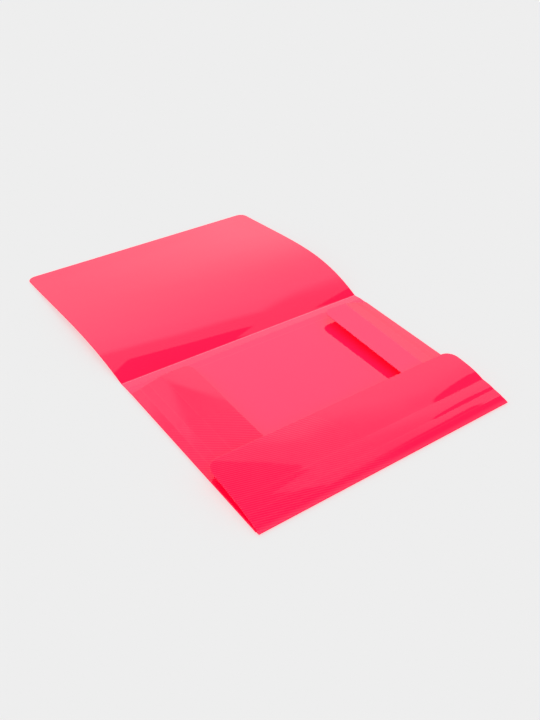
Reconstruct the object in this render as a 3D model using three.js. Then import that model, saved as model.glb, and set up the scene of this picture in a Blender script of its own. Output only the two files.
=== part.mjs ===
// Elastic folder for A4 sheets, lying open: cover to the back, three flaps folded in.
// Millimetres and degrees. X runs along the spine, Y from the fore edge to the cover,
// Z up. The origin is on the table under the middle of the cover crease.
// The folder is one die-cut plastic sheet. Every score line is a living hinge, so each
// panel between two score lines is a piece of its own that turns about its score.
import * as THREE from 'three';

// Overall sizes of the closed sheet
const LENGTH = 320;           // along the spine
const WIDTH = 244;            // cover crease to fore edge
const COVER_REACH = 244;      // cover crease to the cover's free edge, seen from above
const SHEET = 0.5;            // thickness of the plastic sheet

// Score lines: distance of each from its fold, for spine and flaps alike
const SPINE_SCORES = [10, 20];
const FLAP_SCORES = [10, 20, 36.5];
const FORE_REACH = 87;        // fold to free edge, measured along the sheet
const SIDE_REACH = 70;
const SCORE_GAP = 0.3;        // groove left beside a score
const FOLD_GAP = 0.3;         // air between the back panel and a flap folded onto it

// Corners and ends
const COVER_CORNER = 10;      // radius
const FORE_CORNER = 13;
const SIDE_CORNER = 10;
const FORE_INSET = 1;         // the fore flap's ends stop short of the folder's ends
const SIDE_INSET = 0.8;       // the side flaps stop short of the spine
const MITRE_CLEARANCE = 4;    // the side flaps' other ends are cut at 45 degrees
const ARC_STEPS = 6;
const STRIP_STATIONS = 4;     // parts of a strip, so that its twist is smooth

// How far each strip of a flap leans up from level, fold side first
const FORE_LEAN = [11.5, 10.4, 9.5, 6.8];
const HEAD_LEAN_AT_SPINE = [15, 18.5, 16, 1];
const HEAD_LEAN_AT_MITRE = [9, 10, 8.6, 5];
const TAIL_LEAN_AT_SPINE = [9.2, 13.9, 10.8, 5];
const TAIL_LEAN_AT_MITRE = [3.4, 4.6, 4.7, 11.9];

// The cover's bow: height of its crown and of its free edge at either end of the spine
const CROWN_TAIL = 7.6;
const CROWN_HEAD = 17.7;
const EDGE_LIFT_TAIL = 0;
const EDGE_LIFT_HEAD = 3.6;
const CROWN_AT = 87;          // crease to crown
const RISE_STEPS = 9;
const FALL_STEPS = 12;
const COVER_STATIONS = 5;     // sections between the rounded corners

// Elastic bands across the two fore corners, under the back panel
const BAND_WIDTH = 6;
const BAND_THICKNESS = 0.6;
const EYELET_INSET = 12;      // eyelet centre to the nearest edge
const EYELET_RUN = 123;       // eyelet centre to the corner's other edge
const BORE = 1.5;             // radii of the eyelet
const BARREL = 1.9;
const RIM = 2.9;
const FLANGE = 3.8;
const FLANGE_THICKNESS = 0.5;
const RIM_THICKNESS = 0.5;
const WASHER_THICKNESS = 0.3;
const BARREL_CLEARANCE = 0.3;
const ROUND_STEPS = 24;

// Levels above the table
const BAND_Z = FLANGE_THICKNESS;
const PANEL_Z = BAND_Z + BAND_THICKNESS;
const PANEL_TOP = PANEL_Z + SHEET;
const PANEL_MID = PANEL_Z + SHEET / 2;
const CREASE_MID = SHEET / 2;
const FOLD_RADIUS = SHEET + FOLD_GAP / 2;
const FOLD_MID = PANEL_TOP + FOLD_GAP / 2;

// Colours of the photographed folder
const sheetMaterial = new THREE.MeshStandardMaterial({
  color: 0xff3163, roughness: 0.12, metalness: 0, side: THREE.DoubleSide,
});
const bandMaterial = new THREE.MeshStandardMaterial({
  color: 0xe8204f, roughness: 0.85, metalness: 0,
});
const eyeletMaterial = new THREE.MeshStandardMaterial({
  color: 0xcfd2d6, roughness: 0.25, metalness: 1,
});

const folder = new THREE.Group();
const scored = SHEET / 2 + SCORE_GAP;
const radians = THREE.MathUtils.degToRad;
const lerp = THREE.MathUtils.lerp;

// Spine distance u, distance v from the cover crease and height z, as a point
function place(u, v, z) {
  return new THREE.Vector3(u - LENGTH / 2, -v, z);
}

function addPiece(name, geometry, material) {
  const mesh = new THREE.Mesh(geometry, material);
  mesh.name = name;
  folder.add(mesh);
  return mesh;
}

function signedVolume(points, triangles) {
  let six = 0;
  for (const [a, b, c] of triangles) {
    six += points[a].dot(new THREE.Vector3().crossVectors(points[b], points[c]));
  }
  return six / 6;
}

// A closed solid through sections that have the same number of points each
function loft(sections, outline) {
  const count = outline.length;
  const last = (sections.length - 1) * count;
  const points = sections.flat();
  const triangles = [];
  for (let row = 0; row < last; row += count) {
    for (let i = 0; i < count; i += 1) {
      const j = (i + 1) % count;
      // Upper and lower faces share one diagonal, so a twisted panel keeps its thickness
      if (outline[j].x < outline[i].x) {
        triangles.push([row + i, row + j, row + count + i]);
        triangles.push([row + j, row + count + j, row + count + i]);
      } else {
        triangles.push([row + i, row + j, row + count + j]);
        triangles.push([row + i, row + count + j, row + count + i]);
      }
    }
  }
  const counted = THREE.ShapeUtils.isClockWise(outline) ? [...outline].reverse() : outline;
  const indexOf = (i) => (counted === outline ? i : count - 1 - i);
  for (const face of THREE.ShapeUtils.triangulateShape(counted, [])) {
    const [a, b, c] = face.map(indexOf);
    triangles.push(counted === outline ? [a, c, b] : [a, b, c]);
    triangles.push((counted === outline ? [a, b, c] : [a, c, b]).map((i) => last + i));
  }
  const turned = signedVolume(points, triangles) < 0;
  const index = triangles.flatMap(([a, b, c]) => (turned ? [a, c, b] : [a, b, c]));
  const geometry = new THREE.BufferGeometry().setFromPoints(points);
  geometry.setIndex(index);
  geometry.computeVertexNormals();
  return geometry;
}

// Centre line of a flap's cross-section: the fold's axis, then where each score lies
function flapPath(lean, reach) {
  const marks = [0, ...FLAP_SCORES, reach];
  const first = radians(lean[0]);
  const rise = FOLD_RADIUS - SHEET / 2;
  const path = [new THREE.Vector2(
    FOLD_RADIUS - Math.sin(first) * rise,
    FOLD_MID + Math.cos(first) * rise,
  )];
  lean.forEach((angle, k) => {
    const run = marks[k + 1] - marks[k];
    const turn = radians(angle);
    path.push(path[k].clone().add(new THREE.Vector2(Math.cos(turn), Math.sin(turn))
      .multiplyScalar(run)));
  });
  return path;
}

// Half-round end of a strip at its score, from below to above
function scoreEnd(centre, along, up) {
  const points = [];
  for (let i = 0; i <= ARC_STEPS; i += 1) {
    const turn = Math.PI * (i / ARC_STEPS - 0.5);
    points.push(centre.clone()
      .addScaledVector(along, -Math.cos(turn) * SHEET / 2)
      .addScaledVector(up, Math.sin(turn) * SHEET / 2));
  }
  return points;
}

// Round bead of a sheet folded back on itself, from under the strip round to its top
function foldEnd(start, along, up) {
  const centre = start.clone().addScaledVector(up, SHEET / 2 - FOLD_RADIUS);
  const from = Math.asin((FOLD_RADIUS - SHEET) / FOLD_RADIUS);
  const points = [];
  for (let i = 0; i <= 2 * ARC_STEPS; i += 1) {
    const turn = lerp(from, -1.5 * Math.PI, i / (2 * ARC_STEPS));
    points.push(centre.clone()
      .addScaledVector(along, Math.cos(turn) * FOLD_RADIUS)
      .addScaledVector(up, Math.sin(turn) * FOLD_RADIUS));
  }
  return points;
}

// Outline of one strip between two points of a cross-section, its far end cut square
function stripOutline(start, end, folded) {
  const along = end.clone().sub(start).normalize();
  const up = new THREE.Vector2(-along.y, along.x);
  const near = folded ? foldEnd(start, along, up) : scoreEnd(start, along, up);
  const far = [1, -1].map((sign) => end.clone().addScaledVector(up, sign * SHEET / 2));
  return [...near, ...far];
}

// A flap: how it lies at both ends, where its ends are, and how it is placed
function makeFlap(flap) {
  const reach = flap.reach;
  const marks = [0, ...FLAP_SCORES, reach];
  const starts = flapPath(flap.leanAtStart, reach);
  const ends = flapPath(flap.leanAtEnd, reach);
  const pathAt = (k, w) => {
    const part = (w - flap.start) / (flap.endAt(marks[k]) - flap.start);
    return starts[k].clone().lerp(ends[k], part);
  };
  // One section of strip k, cut off at distance far from the fold
  const section = (k, wNear, wFar, far) => {
    const part = (far - marks[k]) / (marks[k + 1] - marks[k]);
    const near = pathAt(k, wNear);
    const end = pathAt(k, wFar).lerp(pathAt(k + 1, wFar), part);
    const outline = stripOutline(near, end, k === 0);
    const points = outline.map((p, i) => (
      flap.place(p.x, i < outline.length - 2 ? wNear : wFar, p.y)
    ));
    return { outline, points };
  };
  for (let k = 0; k < FLAP_SCORES.length; k += 1) {
    const far = marks[k + 1] - scored;
    const sections = Array.from({ length: STRIP_STATIONS + 1 }, (unused, i) => {
      const part = i / STRIP_STATIONS;
      const near = lerp(flap.start, flap.endAt(marks[k]), part);
      return section(k, near, lerp(flap.start, flap.endAt(far), part), far);
    });
    addPiece(`${flap.name}_gusset_${k + 1}`,
      loft(sections.map((s) => s.points), sections[0].outline), sheetMaterial);
  }
  // The main panel, with its free corners rounded
  const k = FLAP_SCORES.length;
  const sections = [];
  const corner = flap.corner;
  for (let i = 0; i <= ARC_STEPS; i += 1) {
    const turn = (Math.PI / 2) * (i / ARC_STEPS);
    const inset = corner * (1 - Math.sin(turn));
    const w = flap.start + corner * (1 - Math.cos(turn));
    sections.push(section(k, w, w, reach - inset));
  }
  if (flap.roundEnd) {
    for (let i = ARC_STEPS; i >= 0; i -= 1) {
      const turn = (Math.PI / 2) * (i / ARC_STEPS);
      const inset = corner * (1 - Math.sin(turn));
      const w = flap.endAt(reach) - corner * (1 - Math.cos(turn));
      sections.push(section(k, w, w, reach - inset));
    }
  } else {
    sections.push(section(k, flap.endAt(marks[k]), flap.endAt(reach), reach));
  }
  addPiece(`${flap.name}_flap`,
    loft(sections.map((s) => s.points), sections[ARC_STEPS].outline), sheetMaterial);
}

function makeForeFlap() {
  makeFlap({
    name: 'fore', reach: FORE_REACH, corner: FORE_CORNER, roundEnd: true,
    leanAtStart: FORE_LEAN, leanAtEnd: FORE_LEAN,
    start: FORE_INSET, endAt: () => LENGTH - FORE_INSET,
    place: (a, w, z) => place(w, WIDTH - a, z),
  });
}

// The side flaps nest under the fore flap, so their ends follow the 45 degree line
function makeSideFlap(name, leanAtSpine, leanAtMitre, acrossFrom) {
  makeFlap({
    name, reach: SIDE_REACH, corner: SIDE_CORNER, roundEnd: false,
    leanAtStart: leanAtSpine, leanAtEnd: leanAtMitre,
    start: SPINE_SCORES[1] + SIDE_INSET,
    endAt: (s) => WIDTH - MITRE_CLEARANCE - s,
    place: (a, w, z) => place(acrossFrom(a), w, z),
  });
}

// The two narrow panels of the spine, which let the closed folder grow thicker
function makeSpine() {
  const mids = [CREASE_MID, PANEL_MID, PANEL_MID];
  const marks = [0, ...SPINE_SCORES];
  ['spine_outer', 'spine_inner'].forEach((name, k) => {
    const score = new THREE.Vector2(marks[k + 1], mids[k + 1]);
    const crease = new THREE.Vector2(marks[k], mids[k]);
    const along = crease.clone().sub(score).normalize();
    const outline = stripOutline(score, crease.addScaledVector(along, -scored), false);
    const sections = [0, LENGTH].map((u) => outline.map((p) => place(u, p.x, p.y)));
    addPiece(name, loft(sections, outline), sheetMaterial);
  });
}

// Height of the cover's middle surface, as two curves that meet at its crown
function coverCurves(part) {
  const crown = lerp(CROWN_TAIL, CROWN_HEAD, part);
  const lift = lerp(EDGE_LIFT_TAIL, EDGE_LIFT_HEAD, part);
  const fall = COVER_REACH - CROWN_AT;
  const at = (x, z) => new THREE.Vector2(x, CREASE_MID + z);
  const rise = new THREE.CubicBezierCurve(
    at(0, 0), at(CROWN_AT / 3, 0.72 * crown), at(CROWN_AT * 2 / 3, crown),
    at(CROWN_AT, crown),
  );
  const drop = new THREE.CubicBezierCurve(
    at(CROWN_AT, crown), at(CROWN_AT + 0.28 * fall, crown),
    at(CROWN_AT + 0.63 * fall, lift + 0.3 * crown), at(COVER_REACH, lift),
  );
  return { rise, drop };
}

function coverOutline(part, inset) {
  const { rise, drop } = coverCurves(part);
  const stop = 1 - inset / (3 * (COVER_REACH - drop.v2.x));
  const middle = [];
  for (let i = 0; i <= RISE_STEPS; i += 1) {
    const t = i / RISE_STEPS;
    middle.push([rise.getPoint(t), rise.getTangent(t)]);
  }
  for (let i = 1; i <= FALL_STEPS; i += 1) {
    const t = stop * i / FALL_STEPS;
    middle.push([drop.getPoint(t), drop.getTangent(t)]);
  }
  const [crease, out] = middle[0];
  const offset = (sign) => ([p, along]) => (
    p.clone().add(new THREE.Vector2(-along.y, along.x).multiplyScalar(sign * SHEET / 2))
  );
  const near = scoreEnd(crease, out, new THREE.Vector2(-out.y, out.x));
  const above = middle.slice(1).map(offset(1));
  const below = middle.slice(1).reverse().map(offset(-1));
  return [...near, ...above, ...below];
}

function makeCover() {
  const stations = [];
  for (let i = 0; i <= ARC_STEPS; i += 1) {
    const turn = (Math.PI / 2) * (i / ARC_STEPS);
    stations.push([COVER_CORNER * (1 - Math.cos(turn)), COVER_CORNER * (1 - Math.sin(turn))]);
  }
  const far = stations.map(([u, inset]) => [LENGTH - u, inset]).reverse();
  for (let i = 1; i <= COVER_STATIONS; i += 1) {
    const part = i / (COVER_STATIONS + 1);
    stations.push([lerp(COVER_CORNER, LENGTH - COVER_CORNER, part), 0]);
  }
  const outlines = [...stations, ...far].map(([u, inset]) => ({
    u, outline: coverOutline(u / LENGTH, inset),
  }));
  const sections = outlines.map(({ u, outline }) => outline.map((p) => place(u, -p.x, p.y)));
  addPiece('front_cover', loft(sections, outlines[0].outline), sheetMaterial);
}

// Where the four eyelets sit, tail side first
function eyeletCentres() {
  const side = WIDTH - EYELET_RUN;
  const fore = WIDTH - EYELET_INSET;
  return [
    [EYELET_INSET, side], [EYELET_RUN, fore],
    [LENGTH - EYELET_RUN, fore], [LENGTH - EYELET_INSET, side],
  ];
}

// Points of an arc that starts at angle from and turns through sweep
function arcPoints(x, y, radius, from, sweep, steps) {
  return Array.from({ length: steps }, (unused, i) => {
    const turn = from + sweep * i / steps;
    return new THREE.Vector2(x + radius * Math.cos(turn), y + radius * Math.sin(turn));
  });
}

function roundHole(x, y) {
  return new THREE.Path(arcPoints(x, y, BARREL + BARREL_CLEARANCE, 0, -2 * Math.PI, ROUND_STEPS));
}

function slab(shape, thickness) {
  return new THREE.ExtrudeGeometry(shape, { depth: thickness, bevelEnabled: false });
}

function makeBackPanel() {
  const edge = 2 * FOLD_RADIUS + SCORE_GAP;
  const near = SPINE_SCORES[1] + scored;
  const shape = new THREE.Shape([
    [edge, near], [edge, WIDTH - edge],
    [LENGTH - edge, WIDTH - edge], [LENGTH - edge, near],
  ].map(([u, v]) => {
    const p = place(u, v, 0);
    return new THREE.Vector2(p.x, p.y);
  }));
  for (const [u, v] of eyeletCentres()) {
    const p = place(u, v, 0);
    shape.holes.push(roundHole(p.x, p.y));
  }
  addPiece('back_cover', slab(shape, SHEET), sheetMaterial).position.z = PANEL_Z;
}

// A flat band with a round end and a hole at each eyelet
function makeBand(name, from, to) {
  const a = place(...from, BAND_Z);
  const b = place(...to, BAND_Z);
  const span = a.distanceTo(b);
  const half = BAND_WIDTH / 2;
  const shape = new THREE.Shape([
    ...arcPoints(0, 0, half, Math.PI / 2, Math.PI, ARC_STEPS), new THREE.Vector2(0, -half),
    ...arcPoints(span, 0, half, -Math.PI / 2, Math.PI, ARC_STEPS), new THREE.Vector2(span, half),
  ]);
  shape.holes.push(roundHole(0, 0), roundHole(span, 0));
  const band = addPiece(name, slab(shape, BAND_THICKNESS), bandMaterial);
  band.position.copy(a);
  band.rotation.z = Math.atan2(b.y - a.y, b.x - a.x);
}

// Flange under the band, barrel through band and panel, rim rolled over the washer
function makeEyelet(name, u, v) {
  const washerTop = PANEL_TOP + WASHER_THICKNESS;
  const profile = [
    [BORE, 0], [FLANGE, 0], [FLANGE, FLANGE_THICKNESS], [BARREL, FLANGE_THICKNESS],
    [BARREL, washerTop], [RIM, washerTop], [RIM - RIM_THICKNESS / 2, washerTop + RIM_THICKNESS],
    [BORE, washerTop + RIM_THICKNESS], [BORE, 0],
  ].map(([r, z]) => new THREE.Vector2(r, z));
  const eyelet = addPiece(name, new THREE.LatheGeometry(profile, ROUND_STEPS), eyeletMaterial);
  eyelet.geometry.rotateX(Math.PI / 2);
  eyelet.position.copy(place(u, v, 0));
}

function makeWasher(name, u, v) {
  const shape = new THREE.Shape(arcPoints(0, 0, FLANGE, 0, 2 * Math.PI, ROUND_STEPS));
  shape.holes.push(roundHole(0, 0));
  const washer = addPiece(name, slab(shape, WASHER_THICKNESS), eyeletMaterial);
  washer.position.copy(place(u, v, PANEL_TOP));
}

makeBackPanel();
makeSpine();
makeCover();
makeForeFlap();
makeSideFlap('head', HEAD_LEAN_AT_SPINE, HEAD_LEAN_AT_MITRE, (a) => LENGTH - a);
makeSideFlap('tail', TAIL_LEAN_AT_SPINE, TAIL_LEAN_AT_MITRE, (a) => a);
const centres = eyeletCentres();
makeBand('elastic_tail', centres[0], centres[1]);
makeBand('elastic_head', centres[2], centres[3]);
centres.forEach(([u, v], i) => {
  makeEyelet(`eyelet_${i + 1}`, u, v);
  makeWasher(`eyelet_washer_${i + 1}`, u, v);
});

export default folder;
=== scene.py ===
"""An open three-flap elastic folder of glossy plastic sheet, dressed over its solid frame.

Sizes are in metres. X runs along the spine, Y from the fore edge to the cover, Z up.
u is the distance from the tail end along the spine, and v from the cover crease to the fore edge.
"""
import math

import bmesh
import bpy
from bpy.props import (
    FloatProperty, FloatVectorProperty, IntProperty, PointerProperty,
)
from mathutils import Euler, Matrix, Vector


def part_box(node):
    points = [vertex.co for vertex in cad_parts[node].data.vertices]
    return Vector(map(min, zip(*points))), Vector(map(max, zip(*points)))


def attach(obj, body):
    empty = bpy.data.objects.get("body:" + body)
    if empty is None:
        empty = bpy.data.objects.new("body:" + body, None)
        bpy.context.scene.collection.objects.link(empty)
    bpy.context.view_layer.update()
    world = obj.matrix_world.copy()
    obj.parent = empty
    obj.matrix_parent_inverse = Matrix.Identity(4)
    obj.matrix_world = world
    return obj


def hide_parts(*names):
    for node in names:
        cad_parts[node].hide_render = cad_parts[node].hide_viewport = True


bl_info = {
    "name": "Elastic Folder",
    "version": (1, 0, 0),
    "blender": (4, 5, 0),
    "location": "3D View > Sidebar > Folder",
    "description": "Builds an open three-flap folder of glossy plastic sheet",
    "category": "Object",
}

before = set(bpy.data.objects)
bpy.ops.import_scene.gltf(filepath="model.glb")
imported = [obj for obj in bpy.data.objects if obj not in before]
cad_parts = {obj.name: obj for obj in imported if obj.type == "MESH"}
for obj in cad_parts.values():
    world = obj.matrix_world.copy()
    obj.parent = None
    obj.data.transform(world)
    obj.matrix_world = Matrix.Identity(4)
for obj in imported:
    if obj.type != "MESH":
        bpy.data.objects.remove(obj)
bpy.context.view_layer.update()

MM = 0.001
SPINE_LOW, SPINE_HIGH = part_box("spine_outer")
PANEL_LOW, PANEL_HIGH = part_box("back_cover")
FOLD_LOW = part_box("fore_gusset_1")[0]
BAND_LOW, BAND_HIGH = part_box("elastic_tail")

# The sheet's scores, and the clearances where flaps meet
FLAP_SCORES = (10 * MM, 20 * MM, 36.5 * MM)
SPINE_SCORES = (10 * MM, 20 * MM)
MITRE_CLEARANCE = 4 * MM
FORE_INSET = 1 * MM
SIDE_INSET = 0.8 * MM
CURL_REACH = 100 * MM
UNBOWED = (0, 0, 0, 0)

# The cover's bow: where its crown lies, and how hard its curves are pulled, as shares of
# the crown's height and of the run from the crown to the free edge
CROWN_AT = 87 * MM
RISE_PULL = 0.72
FALL_PULLS = (0.28, 0.63)
EDGE_PULL = 0.3

# Rounded edges, and how finely panels are divided
RIM_ROUND = 0.12 * MM
RIM_ANGLE = math.radians(50)
SHARP_ANGLE = math.radians(40)
SCORE_ROUND = 0.02 * MM
EDGE_ROW = 1 * MM
CORNER_STEPS = 10
FOLD_STEPS = 20
STRIP_ROWS = 10
MAIN_ROWS = 16
SPINE_ROWS = 3
PANEL_ROWS = 36
COVER_ROWS = 60

# How pale the sheet is painted at its scores, creases and fold, and how far from the line: stress
# whitening together with a painted highlight of the light that these lines catch
SCORE_WHITE_AND_HIGHLIGHT = 0.03
SCORE_LINE_REACH = 0.9 * MM
SPINE_WHITE_AND_HIGHLIGHT = {"spine_outer": 0.6, "spine_inner": 0.1}
COVER_WHITE_AND_HIGHLIGHT = 0.6
# Painted highlight: the fore flap's first strip is painted paler from its fold edge inwards,
# fading over a few millimetres, for the light that the rounded fold catches
FOLD_HIGHLIGHT = 0.15
FOLD_HIGHLIGHT_REACH = 5 * MM

# Fine matte ribs on the outer face of the sheet, which the flaps show; they fade away
# from the corner between the tail end and the fore edge
RIB_PITCH = 2.2 * MM
RIB_CENTRE = (SPINE_LOW.x, FOLD_LOW.y, 0)
RIB_FADE = (130 * MM, 210 * MM)
SIDE_RIB_TURN = math.radians(52)
FORE_RIB_TURN = math.radians(76)

# Elastic bands, which are cords side by side crossed by a fine weft
BAND_CORDS = 8
BAND_STEPS = 80
BAND_END_STEPS = 8
BAND_TIP = 0.05 * MM
CORD_ROWS = 6
CORD_SWELL = 0.06 * MM
CORD_PITCH = 0.6 * MM
WEFT_PITCH = 0.45 * MM

# Eyelets and washers
EYELET_ROUND = 0.2 * MM
WASHER_ROUND = 0.08 * MM
WASHER_CLEARANCE = 0.3 * MM
RING_STEPS = 48
MERGE_REACH = 0.001 * MM

# What the gloss reflects: a wall that is brighter higher up, below a grey top with a dark
# opening, a dark ceiling and, at the first end, a dark screen. There the wall is dimmer
# and its top comes lower. At the other end it is lit to its full height.
# Distances along the wall and heights are in metres.
WALL_TURN = math.radians(27.8)
WALL_DISTANCE = 2.1
WALL_ENDS = (-4.0, 5.0)
WALL_HEIGHT = 8.0
WALL_RISE = (0.0, 0.8)
WALL_GLOW = (0.45, 1.42)
UPPER_RISE = (1.4, 2.3)
UPPER_GLOW = (0.0, 0.33)
WALL_TOP = (2.74, 2.94)
LOW_TOP = (2.25, 2.8)
LOW_SIDE = (0.1, 0.45)
DIM_SIDE = (-0.5, 0.2)
DIM_LEVEL = 0.8
OPENING_FOOT = (3.17, 3.21)
OPENING_START = (0.0, 0.08)
OPENING_END = (1.40, 1.46)
SCREEN_SIDE = (-0.58, -0.66)
SCREEN_FOOT = (2.2, 2.3)
CEILING = (3.8, 3.95)
LIT_SIDE = (2.5, 3.0)
GREY_LEVEL = 1.1
DARK_LEVEL = 0.35

# What the gloss reflects of the room all round: degrees above the floor, and brightness
ROOM_REACH = (0, 45)
ROOM_GLOW = (0.5, 1.1)
BACKDROP_LEVEL = 0.855

FLOOR_HALF = 6.0
FLOOR_GLOW = 0.6
CAMERA_PLACE = (-0.4439, -0.6081, 0.5392)
CAMERA_TURN = (52.760, -2.6206, -36.1408)
CAMERA_LENS = 40.825
CAMERA_SENSOR = 36


def degrees(*values):
    """Turns degrees into radians."""
    return tuple(math.radians(value) for value in values)


class FolderSize(bpy.types.PropertyGroup):
    """Sizes of the plastic sheet."""
    length: FloatProperty(
        name="Length", description="Along the spine", unit="LENGTH",
        default=SPINE_HIGH.x - SPINE_LOW.x)
    width: FloatProperty(
        name="Width", description="Cover crease to fore edge", unit="LENGTH",
        default=-FOLD_LOW.y)
    cover_reach: FloatProperty(
        name="Cover reach", description="Cover crease to the cover's free edge", unit="LENGTH",
        default=244 * MM)
    sheet: FloatProperty(
        name="Sheet", description="Thickness of the plastic sheet", unit="LENGTH",
        default=PANEL_HIGH.z - PANEL_LOW.z)
    panel_level: FloatProperty(
        name="Panel level", description="Height of the back panel's underside", unit="LENGTH",
        default=PANEL_LOW.z)
    fold_gap: FloatProperty(
        name="Fold gap", description="Air between the panel and a folded flap", unit="LENGTH",
        default=0.3 * MM)
    fore_reach: FloatProperty(
        name="Fore flap", description="Fold to free edge", unit="LENGTH", default=87 * MM)
    side_reach: FloatProperty(
        name="Side flaps", description="Fold to free edge", unit="LENGTH", default=70 * MM)
    cover_corner: FloatProperty(
        name="Cover corner", description="Radius", unit="LENGTH", default=10 * MM)
    fore_corner: FloatProperty(
        name="Fore flap corner", description="Radius", unit="LENGTH", default=13 * MM)
    side_corner: FloatProperty(
        name="Side flap corner", description="Radius", unit="LENGTH", default=10 * MM)


class FolderRest(bpy.types.PropertyGroup):
    """How the sprung sheet lies at rest."""
    fore_lean_tail: FloatVectorProperty(
        name="Fore flap at the tail", description="Lean of its four strips from level",
        size=4, unit="ROTATION", default=degrees(15, 12.6, 9.2, 5.9))
    fore_lean_head: FloatVectorProperty(
        name="Fore flap at the head", description="Lean of its four strips from level",
        size=4, unit="ROTATION", default=degrees(14.5, 8.3, 7.8, 7.08))
    head_lean_spine: FloatVectorProperty(
        name="Head flap at the spine", description="Lean of its four strips", size=4,
        unit="ROTATION", default=degrees(15, 18.5, 16, 1))
    head_lean_mitre: FloatVectorProperty(
        name="Head flap at the mitre", description="Lean of its four strips", size=4,
        unit="ROTATION", default=degrees(9, 10, 8.6, 5))
    tail_lean_spine: FloatVectorProperty(
        name="Tail flap at the spine", description="Lean of its four strips", size=4,
        unit="ROTATION", default=degrees(10.2, 15, 12.3, 2.6))
    tail_lean_mitre: FloatVectorProperty(
        name="Tail flap at the mitre", description="Lean of its four strips", size=4,
        unit="ROTATION", default=degrees(3.4, 4.6, 4.7, 11.9))
    fore_bow_tail: FloatVectorProperty(
        name="Fore flap bow at the tail", description="Rise of its strips between scores",
        size=4, unit="LENGTH", default=(0.1 * MM, 0.07 * MM, 0.12 * MM, 0.25 * MM))
    fore_bow_head: FloatVectorProperty(
        name="Fore flap bow at the head", description="Rise of its strips between scores",
        size=4, unit="LENGTH", default=(0.12 * MM, 0.08 * MM, 0.22 * MM, 0.9 * MM))
    tail_bow_spine: FloatVectorProperty(
        name="Tail flap bow at the spine", description="Rise of its strips between scores",
        size=4, unit="LENGTH", default=(0, 0, 0.1 * MM, 0.15 * MM))
    fore_curl: FloatVectorProperty(
        name="Fore flap curl", description="Extra rise beside the scores at the head end",
        size=4, unit="LENGTH", default=(0, 0, 0.4 * MM, 1.2 * MM))
    crown_tail: FloatProperty(
        name="Crown at the tail", description="Height of the cover's bow", unit="LENGTH",
        default=7.6 * MM)
    crown_head: FloatProperty(
        name="Crown at the head", description="Height of the cover's bow", unit="LENGTH",
        default=17.7 * MM)
    lift_head: FloatProperty(
        name="Edge lift", description="Height of the cover's far corner", unit="LENGTH",
        default=3.6 * MM)


class FolderFittings(bpy.types.PropertyGroup):
    """Elastic bands and the eyelets that hold them."""
    band_width: FloatProperty(
        name="Band width", description="Width of the elastic", unit="LENGTH", default=6 * MM)
    band_thickness: FloatProperty(
        name="Band thickness", description="Thickness of the elastic", unit="LENGTH",
        default=BAND_HIGH.z - BAND_LOW.z)
    inset: FloatProperty(
        name="Eyelet inset", description="Eyelet centre to the nearest edge", unit="LENGTH",
        default=12 * MM)
    run: FloatProperty(
        name="Eyelet run", description="Eyelet centre to the corner's other edge",
        unit="LENGTH", default=123 * MM)
    bore: FloatProperty(
        name="Bore", description="Radius of the eyelet's hole", unit="LENGTH",
        default=1.5 * MM)
    barrel: FloatProperty(
        name="Barrel", description="Radius of the eyelet's barrel", unit="LENGTH",
        default=1.9 * MM)
    rim: FloatProperty(
        name="Rim", description="Radius of the rolled rim", unit="LENGTH", default=2.9 * MM)
    flange: FloatProperty(
        name="Flange", description="Radius of the flange and the washer", unit="LENGTH",
        default=3.8 * MM)
    metal: FloatProperty(
        name="Metal", description="Thickness of flange and rim", unit="LENGTH",
        default=0.5 * MM)
    washer: FloatProperty(
        name="Washer", description="Thickness of the washer", unit="LENGTH",
        default=0.3 * MM)


class FolderLook(bpy.types.PropertyGroup):
    """Colours, the matte ribs, and how finely the sheet is divided."""
    sheet_colour: FloatVectorProperty(
        name="Sheet", description="Colour of the plastic sheet", subtype="COLOR", size=4,
        min=0, max=1, default=(0.9, 0.0, 0.072, 1))
    # Painted light: a paler copy of the sheet's colour, standing in for more light coming through
    # the sheet; the back panel on the pale floor, the spine and the head flap's wide panel take
    # it
    lit_level_colour: FloatVectorProperty(
        name="Level panels",
        description="Colour of the back panel, the spine and the head flap's wide panel",
        subtype="COLOR", size=4, min=0, max=1, default=(0.9, 0.013, 0.107, 1))
    # Painted glow: the sheet gives off this red at a fixed strength, lit or in shade, standing in
    # for its fluorescence and for light passing through it
    painted_glow_colour: FloatVectorProperty(
        name="Glow", description="Colour that the fluorescent sheet gives off",
        subtype="COLOR", size=4, min=0, max=1, default=(1.0, 0.0, 0.0, 1))
    # Stress whitening and painted highlight: the paler colour that scores, creases and the fold
    # are painted towards; the painted glow turns towards it there too
    crease_white_and_highlight_colour: FloatVectorProperty(
        name="Crease", description="Colour of the plastic where it is stressed",
        subtype="COLOR", size=4, min=0, max=1, default=(1.0, 0.19, 0.28, 1))
    band_colour: FloatVectorProperty(
        name="Elastic", description="Colour of the elastic", subtype="COLOR", size=4,
        min=0, max=1, default=(0.9, 0.02, 0.13, 1))
    metal_colour: FloatVectorProperty(
        name="Eyelets", description="Colour of the plated eyelets", subtype="COLOR", size=4,
        min=0, max=1, default=(0.63, 0.64, 0.66, 1))
    floor_colour: FloatVectorProperty(
        name="Floor", description="Colour of the surface under the folder",
        subtype="COLOR", size=4, min=0, max=1, default=(0.855, 0.855, 0.855, 1))
    ribbing: FloatProperty(
        name="Ribbing", description="How matte the flaps' fine ribs are", subtype="FACTOR",
        default=0.32, min=0, max=1)
    divisions: IntProperty(
        name="Divisions", description="Divisions along a long panel", default=48, min=8,
        max=120)


def size():
    return bpy.context.scene.folder_size


def rest():
    return bpy.context.scene.folder_rest


def fittings():
    return bpy.context.scene.folder_fittings


def look():
    return bpy.context.scene.folder_look


def lerp(a, b, part):
    return a + (b - a) * part


def place(u, v, z):
    """The point at the distances u and v and a height."""
    return Vector((u - size().length / 2, -v, z))


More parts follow.
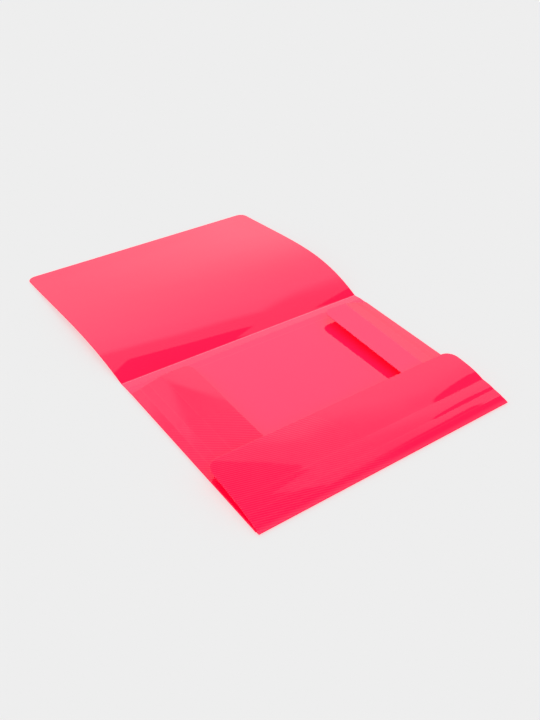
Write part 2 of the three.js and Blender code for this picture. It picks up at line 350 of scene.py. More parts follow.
def fold_radius():
    """Outer radius of a fold, half the height of two sheets and the air between."""
    return size().sheet + size().fold_gap / 2


def fold_level():
    """Height of a fold's middle."""
    return size().panel_level + size().sheet + size().fold_gap / 2


# Shader helpers

def new_material(name):
    """A material, its nodes and its surface shader."""
    material = bpy.data.materials.new(name)
    material.use_nodes = True
    nodes = material.node_tree.nodes
    return material, nodes, nodes["Principled BSDF"]


def fill(node, values):
    """Gives inputs their values, each a plain one or the socket that it comes from."""
    for key, value in values.items():
        if isinstance(value, bpy.types.NodeSocket):
            node.id_data.links.new(value, node.inputs[key])
        else:
            node.inputs[key].default_value = value


def add_node(nodes, kind, values=None, **settings):
    node = nodes.new(kind)
    for key, value in settings.items():
        setattr(node, key, value)
    fill(node, values or {})
    return node


def maths(nodes, operation, *values):
    """A sum of one to three values, each a number or the socket that gives it."""
    node = add_node(nodes, "ShaderNodeMath", dict(enumerate(values)), operation=operation)
    return node.outputs[0]


def ramp(nodes, source, reach, levels, kind="LINEAR"):
    """Goes from one level to the other where the source passes through the reach."""
    return add_node(nodes, "ShaderNodeMapRange", {
        "Value": source, "From Min": reach[0], "From Max": reach[1],
        "To Min": levels[0], "To Max": levels[1],
    }, interpolation_type=kind).outputs["Result"]


def soft_ramp(nodes, source, reach, levels=(0, 1)):
    """A ramp that starts and ends gently."""
    return ramp(nodes, source, reach, levels, "SMOOTHSTEP")


def noise(nodes, spot, scale, detail=2, roughness=0.5):
    return add_node(nodes, "ShaderNodeTexNoise", {
        "Vector": spot, "Scale": scale, "Detail": detail, "Roughness": roughness,
    }).outputs["Fac"]


def blend(nodes, factor, first, second, data="RGBA", kind="MIX"):
    """Mixes two colours, or two numbers where the data is FLOAT."""
    return add_node(nodes, "ShaderNodeMix", {
        "Factor": factor, "A": first, "B": second,
    }, data_type=data, blend_type=kind).outputs["Result"]


def tint(nodes, colour, shade):
    """A colour darkened by a shade of nought to one."""
    return blend(nodes, 1.0, colour, shade, kind="MULTIPLY")


def bump(nodes, height, strength, distance):
    return add_node(nodes, "ShaderNodeBump", {
        "Height": height, "Strength": strength, "Distance": distance,
    }).outputs["Normal"]


def object_spot(nodes):
    return nodes.new("ShaderNodeTexCoord").outputs["Object"]


def split(nodes, vector):
    """The three axes of a vector, by the names X, Y and Z."""
    return add_node(nodes, "ShaderNodeSeparateXYZ", {0: vector}).outputs


def sheet_surface_group():
    """Colour, painted glow, haze and relief of extruded plastic sheet, with matte ribs and
    creases painted paler, stress whitening with a painted highlight.
    """
    name = "sheet_surface"
    if name in bpy.data.node_groups:
        return bpy.data.node_groups[name]
    group = bpy.data.node_groups.new(name, "ShaderNodeTree")
    face = group.interface
    for label, kind, default in (
        ("Colour", "NodeSocketColor", (1, 0, 0, 1)),
        ("Crease colour", "NodeSocketColor", (1, 1, 1, 1)),
        ("Glow colour", "NodeSocketColor", (1, 0, 0, 1)),
        ("Haze", "NodeSocketFloat", 0.1),
        ("Relief", "NodeSocketFloat", 1.0),
        ("Ribbing", "NodeSocketFloat", 0.0),
        ("Rib waves", "NodeSocketVector", (0, 0, 0)),
    ):
        face.new_socket(label, in_out="INPUT", socket_type=kind).default_value = default
    for label, kind in (
        ("Colour", "NodeSocketColor"), ("Roughness", "NodeSocketFloat"),
        ("Height", "NodeSocketFloat"), ("Glow", "NodeSocketColor"),
    ):
        face.new_socket(label, in_out="OUTPUT", socket_type=kind)
    nodes = group.nodes
    given = nodes.new("NodeGroupInput").outputs
    spot = object_spot(nodes)
    clouds = noise(nodes, spot, scale=14, detail=3)
    grain = noise(nodes, spot, scale=900, roughness=0.6)

    # Shallow waves left by the extruder's rollers
    stretch = add_node(nodes, "ShaderNodeMapping", {"Vector": spot, "Scale": (0.6, 2.2, 1)})
    waves = noise(nodes, stretch.outputs["Vector"], scale=9, detail=1, roughness=0.4)
    fine = maths(nodes, "MULTIPLY", grain, 0.0002)
    height = maths(nodes, "MULTIPLY", maths(nodes, "ADD", waves, fine), given["Relief"])

    # Sparse dust and fine pits
    dust = add_node(nodes, "ShaderNodeTexVoronoi", {"Vector": spot, "Scale": 140}).outputs
    specks = ramp(nodes, dust["Distance"], (0.03, 0.06), (1, 0))
    thinned = maths(nodes, "GREATER_THAN", dust["Color"], 0.93)
    sparse = maths(nodes, "MULTIPLY", specks, thinned)

    # Matte ribs, worn away with the distance from one corner
    phase = add_node(nodes, "ShaderNodeVectorMath", {0: spot, 1: given["Rib waves"]},
                     operation="DOT_PRODUCT")
    rib = soft_ramp(nodes, maths(nodes, "SINE", phase.outputs["Value"]), (0, 1))
    away = add_node(nodes, "ShaderNodeVectorMath", {0: spot, 1: RIB_CENTRE},
                    operation="DISTANCE")
    worn = soft_ramp(nodes, away.outputs["Value"], RIB_FADE, (1, 0))
    matte = maths(nodes, "MULTIPLY", maths(nodes, "MULTIPLY", rib, worn), given["Ribbing"])
    haze = maths(nodes, "MULTIPLY_ADD", clouds, 0.02, given["Haze"])
    dusty = maths(nodes, "MULTIPLY_ADD", sparse, 0.3, haze)

    # The creases are painted paler, as stress whitening and a painted highlight, with a broken
    # edge
    crease = add_node(nodes, "ShaderNodeAttribute", attribute_name="crease")
    broken = ramp(nodes, grain, (0.3, 0.7), (0.65, 1.0))
    white_and_highlight = maths(nodes, "MULTIPLY", crease.outputs["Fac"], broken)
    shaded = tint(nodes, given["Colour"], ramp(nodes, clouds, (0.3, 0.7), (0.965, 1.0)))
    # Painted glow: the glow colour, made paler at the creases like the sheet's colour
    fill(nodes.new("NodeGroupOutput"), {
        "Colour": blend(nodes, white_and_highlight, shaded, given["Crease colour"]),
        "Roughness": maths(nodes, "ADD", dusty, matte),
        "Height": height,
        "Glow": blend(nodes, white_and_highlight, given["Glow colour"], given["Crease colour"]),
    })
    return group


def sheet_material(name="sprung_sheet", relief=0.25, rib_turn=None, colour=None):
    """The fluorescent sheet with a painted red glow; free panels wave more than the one that lies
    flat, and a given colour paints some panels paler as if more lit.
    """
    if name in bpy.data.materials:
        return bpy.data.materials[name]
    material, nodes, shader = new_material(name)
    surface = add_node(nodes, "ShaderNodeGroup", {
        "Colour": colour or look().sheet_colour, "Crease colour": look().crease_white_and_highlight_colour,
        "Glow colour": look().painted_glow_colour, "Haze": 0.01, "Relief": relief,
    }, node_tree=sheet_surface_group())
    if rib_turn is not None:
        waves = 2 * math.pi / RIB_PITCH
        fill(surface, {
            "Ribbing": look().ribbing,
            "Rib waves": (waves * math.cos(rib_turn), waves * math.sin(rib_turn), 0),
        })
    fill(shader, {
        "Base Color": surface.outputs["Colour"],
        "Roughness": surface.outputs["Roughness"],
        "Normal": bump(nodes, surface.outputs["Height"], strength=1.0, distance=1.0 * MM),
        "IOR": 1.5,
        "Specular Tint": (1.0, 0.74, 1.0, 1),
        # Painted glow: a fixed red emission keeps the sheet bright in shade, and the paler
        # creases glow paler
        "Emission Color": surface.outputs["Glow"],
        "Emission Strength": 0.5,
    })
    return material


# Mesh helpers

def new_object(bm, name, material):
    """Writes the mesh to a new object of the scene."""
    mesh = bpy.data.meshes.new(name)
    bm.to_mesh(mesh)
    bm.free()
    mesh.materials.append(material)
    thing = bpy.data.objects.new(name, mesh)
    bpy.context.scene.collection.objects.link(thing)
    return thing


def finish_piece(bm, name, material, body, node):
    """Makes the piece and sets it on the body that carries it, in place of a node."""
    piece = new_object(bm, name, material)
    piece.data.shade_smooth()
    piece.data.set_sharp_from_angle(angle=SHARP_ANGLE)
    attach(piece, body)
    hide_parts(node)


def lay_sheet(columns, rows, locate):
    """A grid of columns by rows, each point set by locate, thickened and with round rims.

    locate(column, row) gives the middle of the sheet and how far the point is creased.
    """
    bm = bmesh.new()
    bmesh.ops.create_grid(bm, x_segments=len(columns) - 1, y_segments=len(rows) - 1, size=0.5)
    crease = bm.verts.layers.float.new("crease")
    for vert in bm.verts:
        i = round((vert.co.x + 0.5) * (len(columns) - 1))
        j = round((vert.co.y + 0.5) * (len(rows) - 1))
        vert.co, vert[crease] = locate(columns[i], rows[j])
    bm.normal_update()
    if sum(face.normal.z * face.calc_area() for face in bm.faces) < 0:
        bmesh.ops.reverse_faces(bm, faces=bm.faces)
        bm.normal_update()
    thickness = size().sheet
    for vert in bm.verts:
        vert.co = vert.co + vert.normal * (thickness / 2)
    bmesh.ops.solidify(bm, geom=bm.faces[:], thickness=thickness)
    bm.normal_update()
    round_rims(bm, SCORE_ROUND, lambda edge: all(v[crease] > 0 for v in edge.verts),
               segments=1)
    round_rims(bm, RIM_ROUND, lambda edge: any(v[crease] == 0 for v in edge.verts),
               segments=3)
    return bm


def round_rims(bm, radius, chosen, segments):
    """Rounds those of the sheet's outer edges that are chosen."""
    rims = [edge for edge in bm.edges if edge.is_manifold
            and edge.calc_face_angle(0) > RIM_ANGLE and chosen(edge)]
    bmesh.ops.bevel(
        bm, geom=rims, offset=radius, offset_type="OFFSET", affect="EDGES",
        segments=segments, profile=0.5, material=-1, clamp_overlap=False)


def even(count):
    """Evenly spaced shares from nought to one."""
    return [i / count for i in range(count + 1)]


def corner_arc(radius):
    """Steps round a corner: distance along the edge, and how far the end is cut back."""
    steps = []
    for i in range(CORNER_STEPS + 1):
        turn = math.pi / 2 * i / CORNER_STEPS
        steps.append((radius * (1 - math.cos(turn)), radius * (1 - math.sin(turn))))
    return steps


# The flaps

class Flap:
    """A flap of three strips and a wide panel, divided by its scores.

    It starts at a fixed distance along its fold, and stop(distance from the fold) says
    where it stops. Its leans and bows hold a value for each strip, at its start and at its
    end. locate(distance from the fold's edge, distance along the fold, height) gives the
    place of a point.
    """

    def __init__(self, name, reach, corner, start, stop, leans, bows, locate,
                 round_stop=False, curl=UNBOWED, fold_highlight=0.0):
        self.name = name
        self.reach = reach
        self.corner = corner
        self.start = start
        self.stop = stop
        self.marks = (0, *FLAP_SCORES, reach)
        self.paths = [self.path(lean) for lean in leans]
        self.bows = bows
        self.locate = locate
        self.round_stop = round_stop
        self.curl = curl
        self.fold_highlight = fold_highlight

    def path(self, lean):
        """Middle line of the cross-section: distance from the flap's edge, and height."""
        radius = fold_radius()
        rise = radius - size().sheet / 2
        points = [Vector((radius - math.sin(lean[0]) * rise,
                          fold_level() + math.cos(lean[0]) * rise))]
        for k, angle in enumerate(lean):
            run = self.marks[k + 1] - self.marks[k]
            points.append(points[-1] + Vector((math.cos(angle), math.sin(angle))) * run)
        return points

    def mark(self, k, w):
        """A point of a score: distance from the flap's edge, and height."""
        part = (w - self.start) / (self.stop(self.marks[k]) - self.start)
        return self.paths[0][k].lerp(self.paths[1][k], part)

    def point(self, k, w, part):
        """The place of a point at a share of the way over a strip."""
        p = self.mark(k, w).lerp(self.mark(k + 1, w), part)
        share = min(max(part, 0), 1)
        along = (w - self.start) / (self.stop(0) - self.start)
        rise = lerp(self.bows[0][k], self.bows[1][k], along) * hump(share, 1)
        # The curl is strongest at the far end, and a third of the way over the strip
        curled = max(0.0, 1 - (self.stop(0) - w) / CURL_REACH)
        rise += self.curl[k] * curled * hump(share, 2)
        return self.locate(p.x, w, p.y + rise)


def hump(share, power):
    """A rise of one that is nil at both ends, and nearer the start for a higher power."""
    top = power ** power / (power + 1) ** (power + 1)
    return share * (1 - share) ** power / top


def crease_share(distance, strength=SCORE_WHITE_AND_HIGHLIGHT):
    """How far a score paints the sheet paler, stress whitening with a painted highlight: all of
    its strength on the line, less beside it.
    """
    return strength * max(0.0, 1 - distance / SCORE_LINE_REACH)


def strip_rows(run, near, far, count):
    """Shares of a strip's width or length, closer together at its two edges."""
    edge = EDGE_ROW / run
    low, high = near / run, 1 - far / run
    middle = [lerp(low + edge, high - edge, t) for t in even(count)]
    return [low, *middle, high]


def make_strip(flap, k, material):
    """One strip between two scores, or from the fold to the first score."""
    half = size().sheet / 2
    run = flap.marks[k + 1] - flap.marks[k]
    rows = strip_rows(run, 0 if k == 0 else -half, half, STRIP_ROWS)

    def locate(share, part):
        distance = flap.marks[k] + part * run
        w = lerp(flap.start, flap.stop(max(distance, 0)), share)
        crease = crease_share(min(part, 1 - part) * run)
        if k == 0:
            # Painted highlight along the fold, fading away from its edge
            crease = max(crease, flap.fold_highlight * (1 - distance / FOLD_HIGHLIGHT_REACH))
        return flap.point(k, w, part), crease

    columns = strip_rows(flap.stop(0) - flap.start, 0, 0, look().divisions)
    bm = lay_sheet(columns, rows, locate)
    if k == 0:
        add_fold(bm, flap)
    finish_piece(bm, f"{flap.name}_strip_{k + 1}_sheet", material,
                 f"{flap.name}_strip_{k + 1}", f"{flap.name}_gusset_{k + 1}")


def add_fold(bm, flap):
    """The round fold along a flap's outer edge."""
    radius = fold_radius()
    a = flap.locate(radius, flap.start, fold_level())
    b = flap.locate(radius, flap.stop(0), fold_level())
    turn = (b - a).to_track_quat("Z", "Y").to_matrix().to_4x4()
    bmesh.ops.create_cone(
        bm, cap_ends=True, cap_tris=False, segments=FOLD_STEPS, radius1=radius,
        radius2=radius, depth=(b - a).length, matrix=Matrix.Translation((a + b) / 2) @ turn)


def make_main(flap, material):
    """The flap's wide panel, with its free corners rounded."""
    k = len(FLAP_SCORES)
    half = size().sheet / 2
    first = flap.marks[k]
    run = flap.reach - first
    arc = corner_arc(flap.corner)
    columns = [(along, 0.0, inset) for along, inset in arc]
    lead = flap.corner
    tail = flap.corner if flap.round_stop else 0.0
    for share in even(look().divisions)[1:-1]:
        columns.append((lerp(lead, -tail, share), share, 0.0))
    if flap.round_stop:
        columns += [(-along, 1.0, inset) for along, inset in reversed(arc)]
    else:
        columns.append((0.0, 1.0, 0.0))
    rows = strip_rows(run, -half, 0, MAIN_ROWS)

    def locate(column, part):
        along, share, inset = column
        distance = first + part * (run - inset)
        w = lerp(flap.start, flap.stop(distance), share) + along
        past = distance - first
        return flap.point(k, w, past / run), crease_share(past)

    bm = lay_sheet(columns, rows, locate)
    finish_piece(bm, f"{flap.name}_main_sheet", material, f"{flap.name}_main",
                 f"{flap.name}_flap")


def make_flap(flap, rib_turn, main_colour=None):
    """Makes the strips and the wide panel, which is plain where it is given a main colour, the
    painted paler copy of the sheet's colour.
    """
    kind = "fore" if flap.name == "fore" else "side"
    material = sheet_material(f"{kind}_flap_sheet", rib_turn=rib_turn)
    for k in range(len(FLAP_SCORES)):
        make_strip(flap, k, material)
    if main_colour:
        material = sheet_material(f"{flap.name}_panel_sheet", colour=main_colour)
    make_main(flap, material)


def side_flap(name, leans, bow_spine, from_tail):
    """A short flap, cut at 45 degrees where the fore flap lies over it."""
    return Flap(
        name, size().side_reach, size().side_corner, start=SPINE_SCORES[1] + SIDE_INSET,
        stop=lambda distance: size().width - MITRE_CLEARANCE - distance,
        leans=leans, bows=(bow_spine, UNBOWED),
        locate=lambda a, w, z: place(a if from_tail else size().length - a, w, z))


# The cover

def cubic(a, b, c, d, t):
    """A curve from a to d, pulled by b and c, at the share t."""
    s = 1 - t
    return a * s ** 3 + b * 3 * s * s * t + c * 3 * s * t * t + d * t ** 3


def share_at(ends, reach, halvings=40):
    """How far along a rising cubic its value is the reach."""
    low, high = 0.0, 1.0
    for _ in range(halvings):
        middle = (low + high) / 2
        if cubic(*ends, middle) < reach:
            low = middle
        else:
            high = middle
    return (low + high) / 2


def cover_point(u, v):
    """The cover's middle surface, a bow that falls away from its crown to its free edge."""
    part = u / size().length
    crown = lerp(rest().crown_tail, rest().crown_head, part)
    lift = rest().lift_head * part
    if v <= CROWN_AT:
        z = cubic(0, RISE_PULL * crown, crown, crown, v / CROWN_AT)
    else:
        reach = size().cover_reach
        pulls = (lerp(CROWN_AT, reach, pull) for pull in FALL_PULLS)
        fall = share_at((CROWN_AT, *pulls, reach), v)
        z = cubic(crown, crown, lift + EDGE_PULL * crown, lift, fall)
    return place(u, -v, size().sheet / 2 + z)


class FOLDER_OT_cover(bpy.types.Operator):
    """Make the bowed cover that lies thrown back"""
    bl_idname = "folder.cover"
    bl_label = "Cover"

    def execute(self, context):
        half = size().sheet / 2
        corner, reach = size().cover_corner, size().cover_reach
        arc = corner_arc(corner)
        columns = list(arc)
        for share in even(look().divisions)[1:-1]:
            columns.append((lerp(corner, size().length - corner, share), 0.0))
        columns += [(size().length - along, inset) for along, inset in reversed(arc)]
        middle = [lerp(3 * EDGE_ROW, reach - EDGE_ROW, t) for t in even(COVER_ROWS)]
        rows = [-half, EDGE_ROW, *middle, reach]

        def locate(column, v):
            u, inset = column
            v = v * (1 - inset / reach) if v > 0 else v
            point = cover_point(u, max(v, 0))
            if v < 0:
                point.y += v
            # The cover's crease is painted paler: stress whitening and a painted highlight
            return point, crease_share(v, COVER_WHITE_AND_HIGHLIGHT)

        bm = lay_sheet(columns, rows, locate)
        finish_piece(bm, "cover_sheet", sheet_material(), "cover", "front_cover")
        return {"FINISHED"}


class FOLDER_OT_spine(bpy.types.Operator):
    """Make the two narrow panels of the spine"""
    bl_idname = "folder.spine"
    bl_label = "Spine"

    def execute(self, context):
        half = size().sheet / 2
        level = size().panel_level + half
        ends = (
            ("spine_outer", Vector((SPINE_SCORES[0], level)), Vector((0, half))),
            ("spine_inner", Vector((SPINE_SCORES[1], level)),
             Vector((SPINE_SCORES[0], level))),
        )
        # The spine takes the paler, painted-lit copy of the sheet's colour
        material = sheet_material("spine_sheet", colour=look().lit_level_colour)
        for name, near, far in ends:
            run = (far - near).length

            def locate(u, part):
                v, z = near.lerp(far, part)
                # Scores painted paler, the outer one strongly where the cover bends back: stress
                # whitening and a painted highlight
                return place(u, v, z), max(
                    crease_share(part * run),
                    crease_share((1 - part) * run, SPINE_WHITE_AND_HIGHLIGHT[name]))

            columns = [t * size().length
                       for t in strip_rows(size().length, 0, 0, look().divisions)]
            bm = lay_sheet(columns, strip_rows(run, -half, half, SPINE_ROWS), locate)
            finish_piece(bm, f"{name}_sheet", material, name, name)
        return {"FINISHED"}


class FOLDER_OT_back_panel(bpy.types.Operator):
    """Make the level back panel that carries the flaps"""
    bl_idname = "folder.back_panel"
    bl_label = "Back panel"

    def execute(self, context):
        half = size().sheet / 2
        edge = fold_radius() + half
        near = SPINE_SCORES[1] + half
        us = [lerp(edge, size().length - edge, t) for t in even(look().divisions)]
        vs = [near, near + EDGE_ROW]
        vs += [lerp(near + 2 * EDGE_ROW, size().width - edge, t) for t in even(PANEL_ROWS)]

        def locate(u, v):
            return place(u, v, size().panel_level + half), crease_share(v - near)

        bm = lay_sheet(us, vs, locate)
        # The back panel takes the paler, painted-lit copy of the sheet's colour
        material = sheet_material("level_sheet", relief=0.05, colour=look().lit_level_colour)
        finish_piece(bm, "back_panel_sheet", material, "back", "back_cover")
        return {"FINISHED"}


class FOLDER_OT_fore_flap(bpy.types.Operator):
    """Make the long flap on the fore edge"""
    bl_idname = "folder.fore_flap"
    bl_label = "Fore flap"

    def execute(self, context):
        fore = Flap(
            "fore", size().fore_reach, size().fore_corner, start=FORE_INSET,
            stop=lambda distance: size().length - FORE_INSET,
            leans=(rest().fore_lean_tail, rest().fore_lean_head),
            bows=(rest().fore_bow_tail, rest().fore_bow_head),
            locate=lambda a, w, z: place(w, size().width - a, z),
            round_stop=True, curl=rest().fore_curl, fold_highlight=FOLD_HIGHLIGHT)
        make_flap(fore, FORE_RIB_TURN)
        return {"FINISHED"}


class FOLDER_OT_side_flaps(bpy.types.Operator):
    """Make the two short flaps, one at either end of the spine"""
    bl_idname = "folder.side_flaps"
    bl_label = "Side flaps"

    def execute(self, context):
        head_leans = (rest().head_lean_spine, rest().head_lean_mitre)
        head = side_flap("head", head_leans, UNBOWED, from_tail=False)
        # The head flap's wide panel takes the paler, painted-lit copy of the sheet's colour
        make_flap(head, SIDE_RIB_TURN, look().lit_level_colour)
        tail_leans = (rest().tail_lean_spine, rest().tail_lean_mitre)
        tail = side_flap("tail", tail_leans, rest().tail_bow_spine, from_tail=True)
        make_flap(tail, SIDE_RIB_TURN)
        return {"FINISHED"}


# Bands and eyelets

def eyelet_places():
    """The eyelets' centres as u and v, from the tail edge round to the head edge."""
    side = size().width - fittings().run
    fore = size().width - fittings().inset
    inset, run, length = fittings().inset, fittings().run, size().length
    return [(inset, side), (run, fore), (length - run, fore), (length - inset, side)]


def woven_material():
    """Ribbed elastic ribbon: cords along it, crossed by a fine weft, with a painted glow of its
    own colour.
    """
    name = "woven_elastic"
    if name in bpy.data.materials:
        return bpy.data.materials[name]
    material, nodes, shader = new_material(name)
    ribbon = add_node(nodes, "ShaderNodeUVMap", uv_map="ribbon")
    axes = split(nodes, ribbon.outputs["UV"])
    weft, cords = (
        maths(nodes, "SINE", maths(nodes, "MULTIPLY", axes[axis], 2 * math.pi / pitch))
        for axis, pitch in (("X", WEFT_PITCH), ("Y", CORD_PITCH)))
    weave = maths(nodes, "MULTIPLY", weft, cords)
    ribs = maths(nodes, "MULTIPLY_ADD", weave, 0.5, cords)
    fuzz = noise(nodes, object_spot(nodes), scale=2500)
    shade = tint(nodes, look().band_colour, ramp(nodes, ribs, (-1.5, 1.5), (0.7, 1.0)))
    linty = tint(nodes, shade, ramp(nodes, fuzz, (0.3, 0.7), (0.8, 1.0)))
    fill(shader, {
        "Base Color": linty,
        "Roughness": 0.8,
        "Normal": bump(nodes, ribs, strength=0.8, distance=0.12 * MM),
        "Sheen Weight": 0.1,
        # Painted glow: the elastic gives off its own colour, which lifts it in shade
        "Emission Color": linty,
        "Emission Strength": 0.3,
    })
    return material


def plated_material():
    """Nickel plate with fine turning marks and small dents."""
    name = "nickel_plate"
    if name in bpy.data.materials:
        return bpy.data.materials[name]
    material, nodes, shader = new_material(name)
    marks = noise(nodes, object_spot(nodes), scale=1800, detail=3)
    patina = noise(nodes, object_spot(nodes), scale=260)
    tone = ramp(nodes, patina, (0.3, 0.7), (0.82, 1.0))
    fill(shader, {
        "Base Color": tint(nodes, look().metal_colour, tone),
        "Metallic": 1.0,
        "Roughness": ramp(nodes, marks, (0.3, 0.7), (0.2, 0.34)),
        "Normal": bump(nodes, marks, strength=0.3, distance=0.02 * MM),
    })
    return material


class FOLDER_OT_bands(bpy.types.Operator):
    """Make the elastic bands under the two fore corners"""
    bl_idname = "folder.bands"
    bl_label = "Elastic bands"

    def execute(self, context):
        places = eyelet_places()
        self.make_band("elastic_tail", *places[:2])
        self.make_band("elastic_head", *places[2:])
        return {"FINISHED"}

    def make_band(self, name, start, end):
        half = fittings().band_width / 2
        a, b = place(*start, 0), place(*end, 0)
        along = (b - a).normalized()
        across = Vector((-along.y, along.x, 0))
        span = (b - a).length
        turns = [math.pi / 2 * t for t in even(BAND_END_STEPS)]
        stations = [(-half * math.cos(t), half * math.sin(t)) for t in turns]
        stations += [(span * t, half) for t in even(BAND_STEPS)[1:-1]]
        stations += [(span + half * math.cos(t), half * math.sin(t))
                     for t in reversed(turns)]
        thickness = fittings().band_thickness
        level = size().panel_level - thickness / 2
        bm = bmesh.new()
        bmesh.ops.create_grid(
            bm, x_segments=len(stations) - 1, y_segments=CORD_ROWS * BAND_CORDS,
            size=0.5)
        ribbon = bm.loops.layers.uv.new("ribbon")
        for vert in bm.verts:
            distance, reach = stations[round((vert.co.x + 0.5) * (len(stations) - 1))]
            side = 2 * vert.co.y * max(reach, BAND_TIP)
            vert.co = a + along * distance + across * side
            for loop in vert.link_loops:
                loop[ribbon].uv = (distance, side)
        skin = thickness - 2 * CORD_SWELL
        for vert in bm.verts:
            vert.co.z = level - skin / 2
        bmesh.ops.solidify(bm, geom=bm.faces[:], thickness=-skin)
        # Cords swell the ribbon on both faces
        for vert in bm.verts:
            side = (vert.co - a).dot(across)
            cord = BAND_CORDS * (side / (2 * half) + 0.5)
            swell = CORD_SWELL * abs(math.sin(math.pi * cord))
            vert.co.z += swell if vert.co.z > level else -swell
        bm.normal_update()
        bmesh.ops.recalc_face_normals(bm, faces=bm.faces)
        finish_piece(bm, f"{name}_ribbon", woven_material(), "back", name)


def spin_ring(bm, profile, centre):
    """Turns a closed profile of radii and heights about a vertical axis through centre."""
    verts = [bm.verts.new(centre + Vector((radius, 0, z))) for radius, z in profile]
    edges = [bm.edges.new((verts[i - 1], verts[i])) for i in range(len(verts))]
    bmesh.ops.spin(
        bm, geom=verts + edges, cent=centre, axis=(0, 0, 1), dvec=(0, 0, 0),
        angle=2 * math.pi, steps=RING_STEPS, use_merge=True, use_duplicate=False)
    bmesh.ops.remove_doubles(bm, verts=bm.verts, dist=MERGE_REACH)
    bmesh.ops.recalc_face_normals(bm, faces=bm.faces)


def rounded(corners, radius, steps=4):
    """A closed profile with each of its corners cut to a small round."""
    points = []
    count = len(corners)
    for i, corner in enumerate(corners):
        before, here, after = (Vector(corners[j % count]) for j in (i - 1, i, i + 1))
        back, on = before - here, after - here
        # A little less than half of the shorter side, so that two rounds never meet
        room = min(back.length, on.length) / 2.1
        cut = min(radius, room)
        first, last = here + back.normalized() * cut, here + on.normalized() * cut
        for t in even(steps):
            points.append(first.lerp(here, t).lerp(here.lerp(last, t), t))
    return [tuple(p) for p in points]


class FOLDER_OT_eyelets(bpy.types.Operator):
    """Make the four eyelets and the washers under their rims"""
    bl_idname = "folder.eyelets"
    bl_label = "Eyelets and washers"

    def execute(self, context):
        f = fittings()
        top = size().panel_level + size().sheet
        seat = top + f.washer
        eyelet = rounded([
            (f.bore, 0), (f.flange, 0), (f.flange, f.metal), (f.barrel, f.metal),
            (f.barrel, seat), (f.rim, seat), (f.rim - f.metal / 2, seat + f.metal),
            (f.bore, seat + f.metal),
        ], EYELET_ROUND)
        hole = f.barrel + WASHER_CLEARANCE
        washer = rounded([
            (hole, top), (f.flange, top), (f.flange, seat), (hole, seat),
        ], WASHER_ROUND)
        for i, (u, v) in enumerate(eyelet_places(), 1):
            for kind, profile in (("eyelet", eyelet), ("eyelet_washer", washer)):
                bm = bmesh.new()
                spin_ring(bm, profile, place(u, v, 0))
                finish_piece(bm, f"{kind}_{i}_plated", plated_material(), "back",
                             f"{kind}_{i}")
        return {"FINISHED"}


def clear_scene():
    """Empties the file of the objects that a new file starts with."""
    for name in ("Cube", "Light", "Camera"):
        if name in bpy.data.objects:
            bpy.data.objects.remove(bpy.data.objects[name])


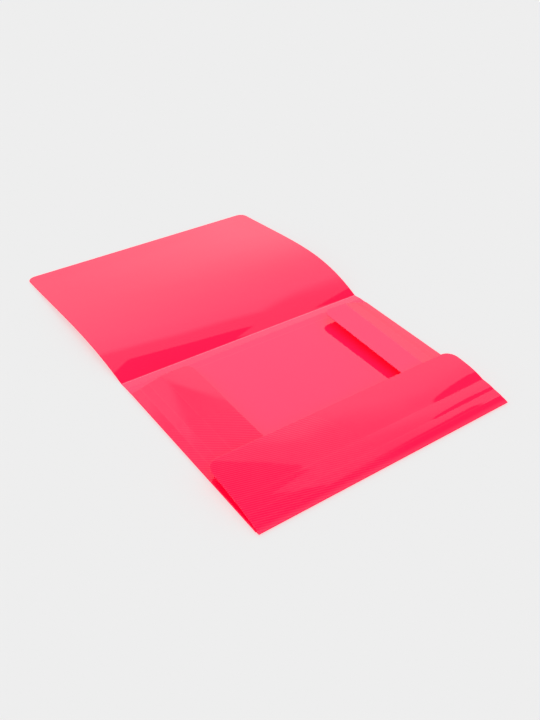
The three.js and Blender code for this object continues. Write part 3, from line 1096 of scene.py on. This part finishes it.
class FOLDER_OT_stage(bpy.types.Operator):
    """Set the pale floor, the even light, the wall for the gloss and the camera"""
    bl_idname = "folder.stage"
    bl_label = "Stage"

    def execute(self, context):
        self.make_floor()
        self.make_world(context)
        self.make_wall()
        self.make_camera(context)
        context.scene.view_settings.view_transform = "Standard"
        return {"FINISHED"}

    def make_floor(self):
        """A matte floor, lit a little for the camera alone, which softens the shadows."""
        material, nodes, shader = new_material("pale_floor")
        fill(shader, {
            "Base Color": look().floor_colour, "Roughness": 0.6, "Specular IOR Level": 0.0,
        })
        glow = add_node(nodes, "ShaderNodeEmission", {"Color": look().floor_colour})
        rays = nodes.new("ShaderNodeLightPath").outputs
        mix = add_node(nodes, "ShaderNodeMixShader", {
            "Fac": maths(nodes, "MULTIPLY", rays["Is Camera Ray"], FLOOR_GLOW),
            1: shader.outputs["BSDF"], 2: glow.outputs["Emission"],
        })
        fill(nodes["Material Output"], {"Surface": mix.outputs["Shader"]})
        bm = bmesh.new()
        bmesh.ops.create_grid(bm, x_segments=2, y_segments=2, size=FLOOR_HALF)
        new_object(bm, "floor", material)

    def make_world(self, context):
        """Even light, a pale backdrop, and for the gloss a room that is brighter high up."""
        world = bpy.data.worlds.new("studio")
        context.scene.world = world
        world.use_nodes = True
        nodes = world.node_tree.nodes
        nodes.clear()
        direction = nodes.new("ShaderNodeTexCoord").outputs["Generated"]
        elevation = maths(nodes, "ARCSINE", split(nodes, direction)["Z"])
        room = ramp(nodes, elevation, degrees(*ROOM_REACH), ROOM_GLOW)
        rays = nodes.new("ShaderNodeLightPath").outputs
        seen = blend(nodes, rays["Is Glossy Ray"], 1.0, room, "FLOAT")
        level = blend(nodes, rays["Is Camera Ray"], seen, BACKDROP_LEVEL, "FLOAT")
        backdrop = add_node(nodes, "ShaderNodeBackground", {
            "Color": (1, 1, 1, 1), "Strength": level})
        add_node(nodes, "ShaderNodeOutputWorld", {"Surface": backdrop.outputs["Background"]})

    def make_wall(self):
        """The lit wall, which only the gloss sees."""
        bm = bmesh.new()
        bmesh.ops.create_grid(bm, x_segments=1, y_segments=1, size=0.5)
        for vert in bm.verts:
            vert.co = (lerp(*WALL_ENDS, vert.co.x + 0.5), 0, WALL_HEIGHT * (vert.co.y + 0.5))
        wall = new_object(bm, "lit_wall", self.wall_material())
        wall.location = (WALL_DISTANCE * math.cos(WALL_TURN),
                         WALL_DISTANCE * math.sin(WALL_TURN), 0)
        wall.rotation_euler.z = WALL_TURN + math.pi / 2
        wall.visible_camera = False
        wall.visible_diffuse = False
        wall.visible_transmission = False
        wall.visible_shadow = False

    def wall_material(self):
        """Light that grows up the wall, with a grey and partly dark top across it."""
        material, nodes, shader = new_material("lit_wall")
        axes = split(nodes, object_spot(nodes))
        along, height = axes["X"], axes["Z"]

        def both(first, second):
            return maths(nodes, "MULTIPLY", first, second)

        def either(first, second):
            return maths(nodes, "MAXIMUM", first, second)

        lit = maths(nodes, "ADD", ramp(nodes, height, WALL_RISE, WALL_GLOW),
                    ramp(nodes, height, UPPER_RISE, UPPER_GLOW))
        lit = both(lit, soft_ramp(nodes, along, DIM_SIDE, (DIM_LEVEL, 1)))
        before_end = soft_ramp(nodes, along, OPENING_END, (1, 0))
        opening = both(both(soft_ramp(nodes, along, OPENING_START), before_end),
                       soft_ramp(nodes, height, OPENING_FOOT))
        ceiling = both(before_end, soft_ramp(nodes, height, CEILING))
        screen = both(soft_ramp(nodes, along, SCREEN_SIDE),
                      soft_ramp(nodes, height, SCREEN_FOOT))
        dark = either(screen, either(opening, ceiling))
        upper = soft_ramp(nodes, dark, (0, 1), (GREY_LEVEL, DARK_LEVEL))
        low_top = both(soft_ramp(nodes, along, LOW_SIDE, (1, 0)),
                       soft_ramp(nodes, height, LOW_TOP))
        top = either(either(screen, low_top), soft_ramp(nodes, height, WALL_TOP))
        top = both(top, soft_ramp(nodes, along, LIT_SIDE, (1, 0)))
        glow = add_node(nodes, "ShaderNodeEmission", {
            "Color": (1, 1, 1, 1), "Strength": blend(nodes, top, lit, upper, "FLOAT")})
        fill(nodes["Material Output"], {"Surface": glow.outputs["Emission"]})
        nodes.remove(shader)
        return material

    def make_camera(self, context):
        data = bpy.data.cameras.new("camera")
        data.lens = CAMERA_LENS
        data.sensor_width = CAMERA_SENSOR
        camera = bpy.data.objects.new("camera", data)
        context.scene.collection.objects.link(camera)
        camera.location = CAMERA_PLACE
        camera.rotation_euler = Euler(degrees(*CAMERA_TURN), "XYZ")
        context.scene.camera = camera


class FOLDER_PT_panel(bpy.types.Panel):
    """Sizes, colours and the steps that build the folder"""
    bl_idname = "FOLDER_PT_panel"
    bl_label = "Elastic Folder"
    bl_space_type = "VIEW_3D"
    bl_region_type = "UI"
    bl_category = "Folder"

    def draw(self, context):
        layout = self.layout
        for name in GROUPS:
            box = layout.box()
            group = getattr(context.scene, name)
            for key in group.bl_rna.properties.keys():
                if key not in ("rna_type", "name"):
                    box.prop(group, key)
        for operator in STEPS:
            layout.operator(operator.bl_idname)


GROUPS = {
    "folder_size": FolderSize,
    "folder_rest": FolderRest,
    "folder_fittings": FolderFittings,
    "folder_look": FolderLook,
}
STEPS = (
    FOLDER_OT_stage, FOLDER_OT_back_panel, FOLDER_OT_spine, FOLDER_OT_cover,
    FOLDER_OT_side_flaps, FOLDER_OT_fore_flap, FOLDER_OT_bands, FOLDER_OT_eyelets,
)


def register():
    for group in GROUPS.values():
        bpy.utils.register_class(group)
    for name, group in GROUPS.items():
        setattr(bpy.types.Scene, name, PointerProperty(type=group))
    for step in STEPS:
        bpy.utils.register_class(step)
    bpy.utils.register_class(FOLDER_PT_panel)


def unregister():
    bpy.utils.unregister_class(FOLDER_PT_panel)
    for step in reversed(STEPS):
        bpy.utils.unregister_class(step)
    for name in GROUPS:
        delattr(bpy.types.Scene, name)
    for group in GROUPS.values():
        bpy.utils.unregister_class(group)


def main():
    """Builds the folder and its stage."""
    register()
    clear_scene()
    bpy.ops.folder.stage()
    bpy.ops.folder.back_panel()
    bpy.ops.folder.spine()
    bpy.ops.folder.cover()
    bpy.ops.folder.side_flaps()
    bpy.ops.folder.fore_flap()
    bpy.ops.folder.bands()
    bpy.ops.folder.eyelets()


if __name__ == "__main__":
    main()
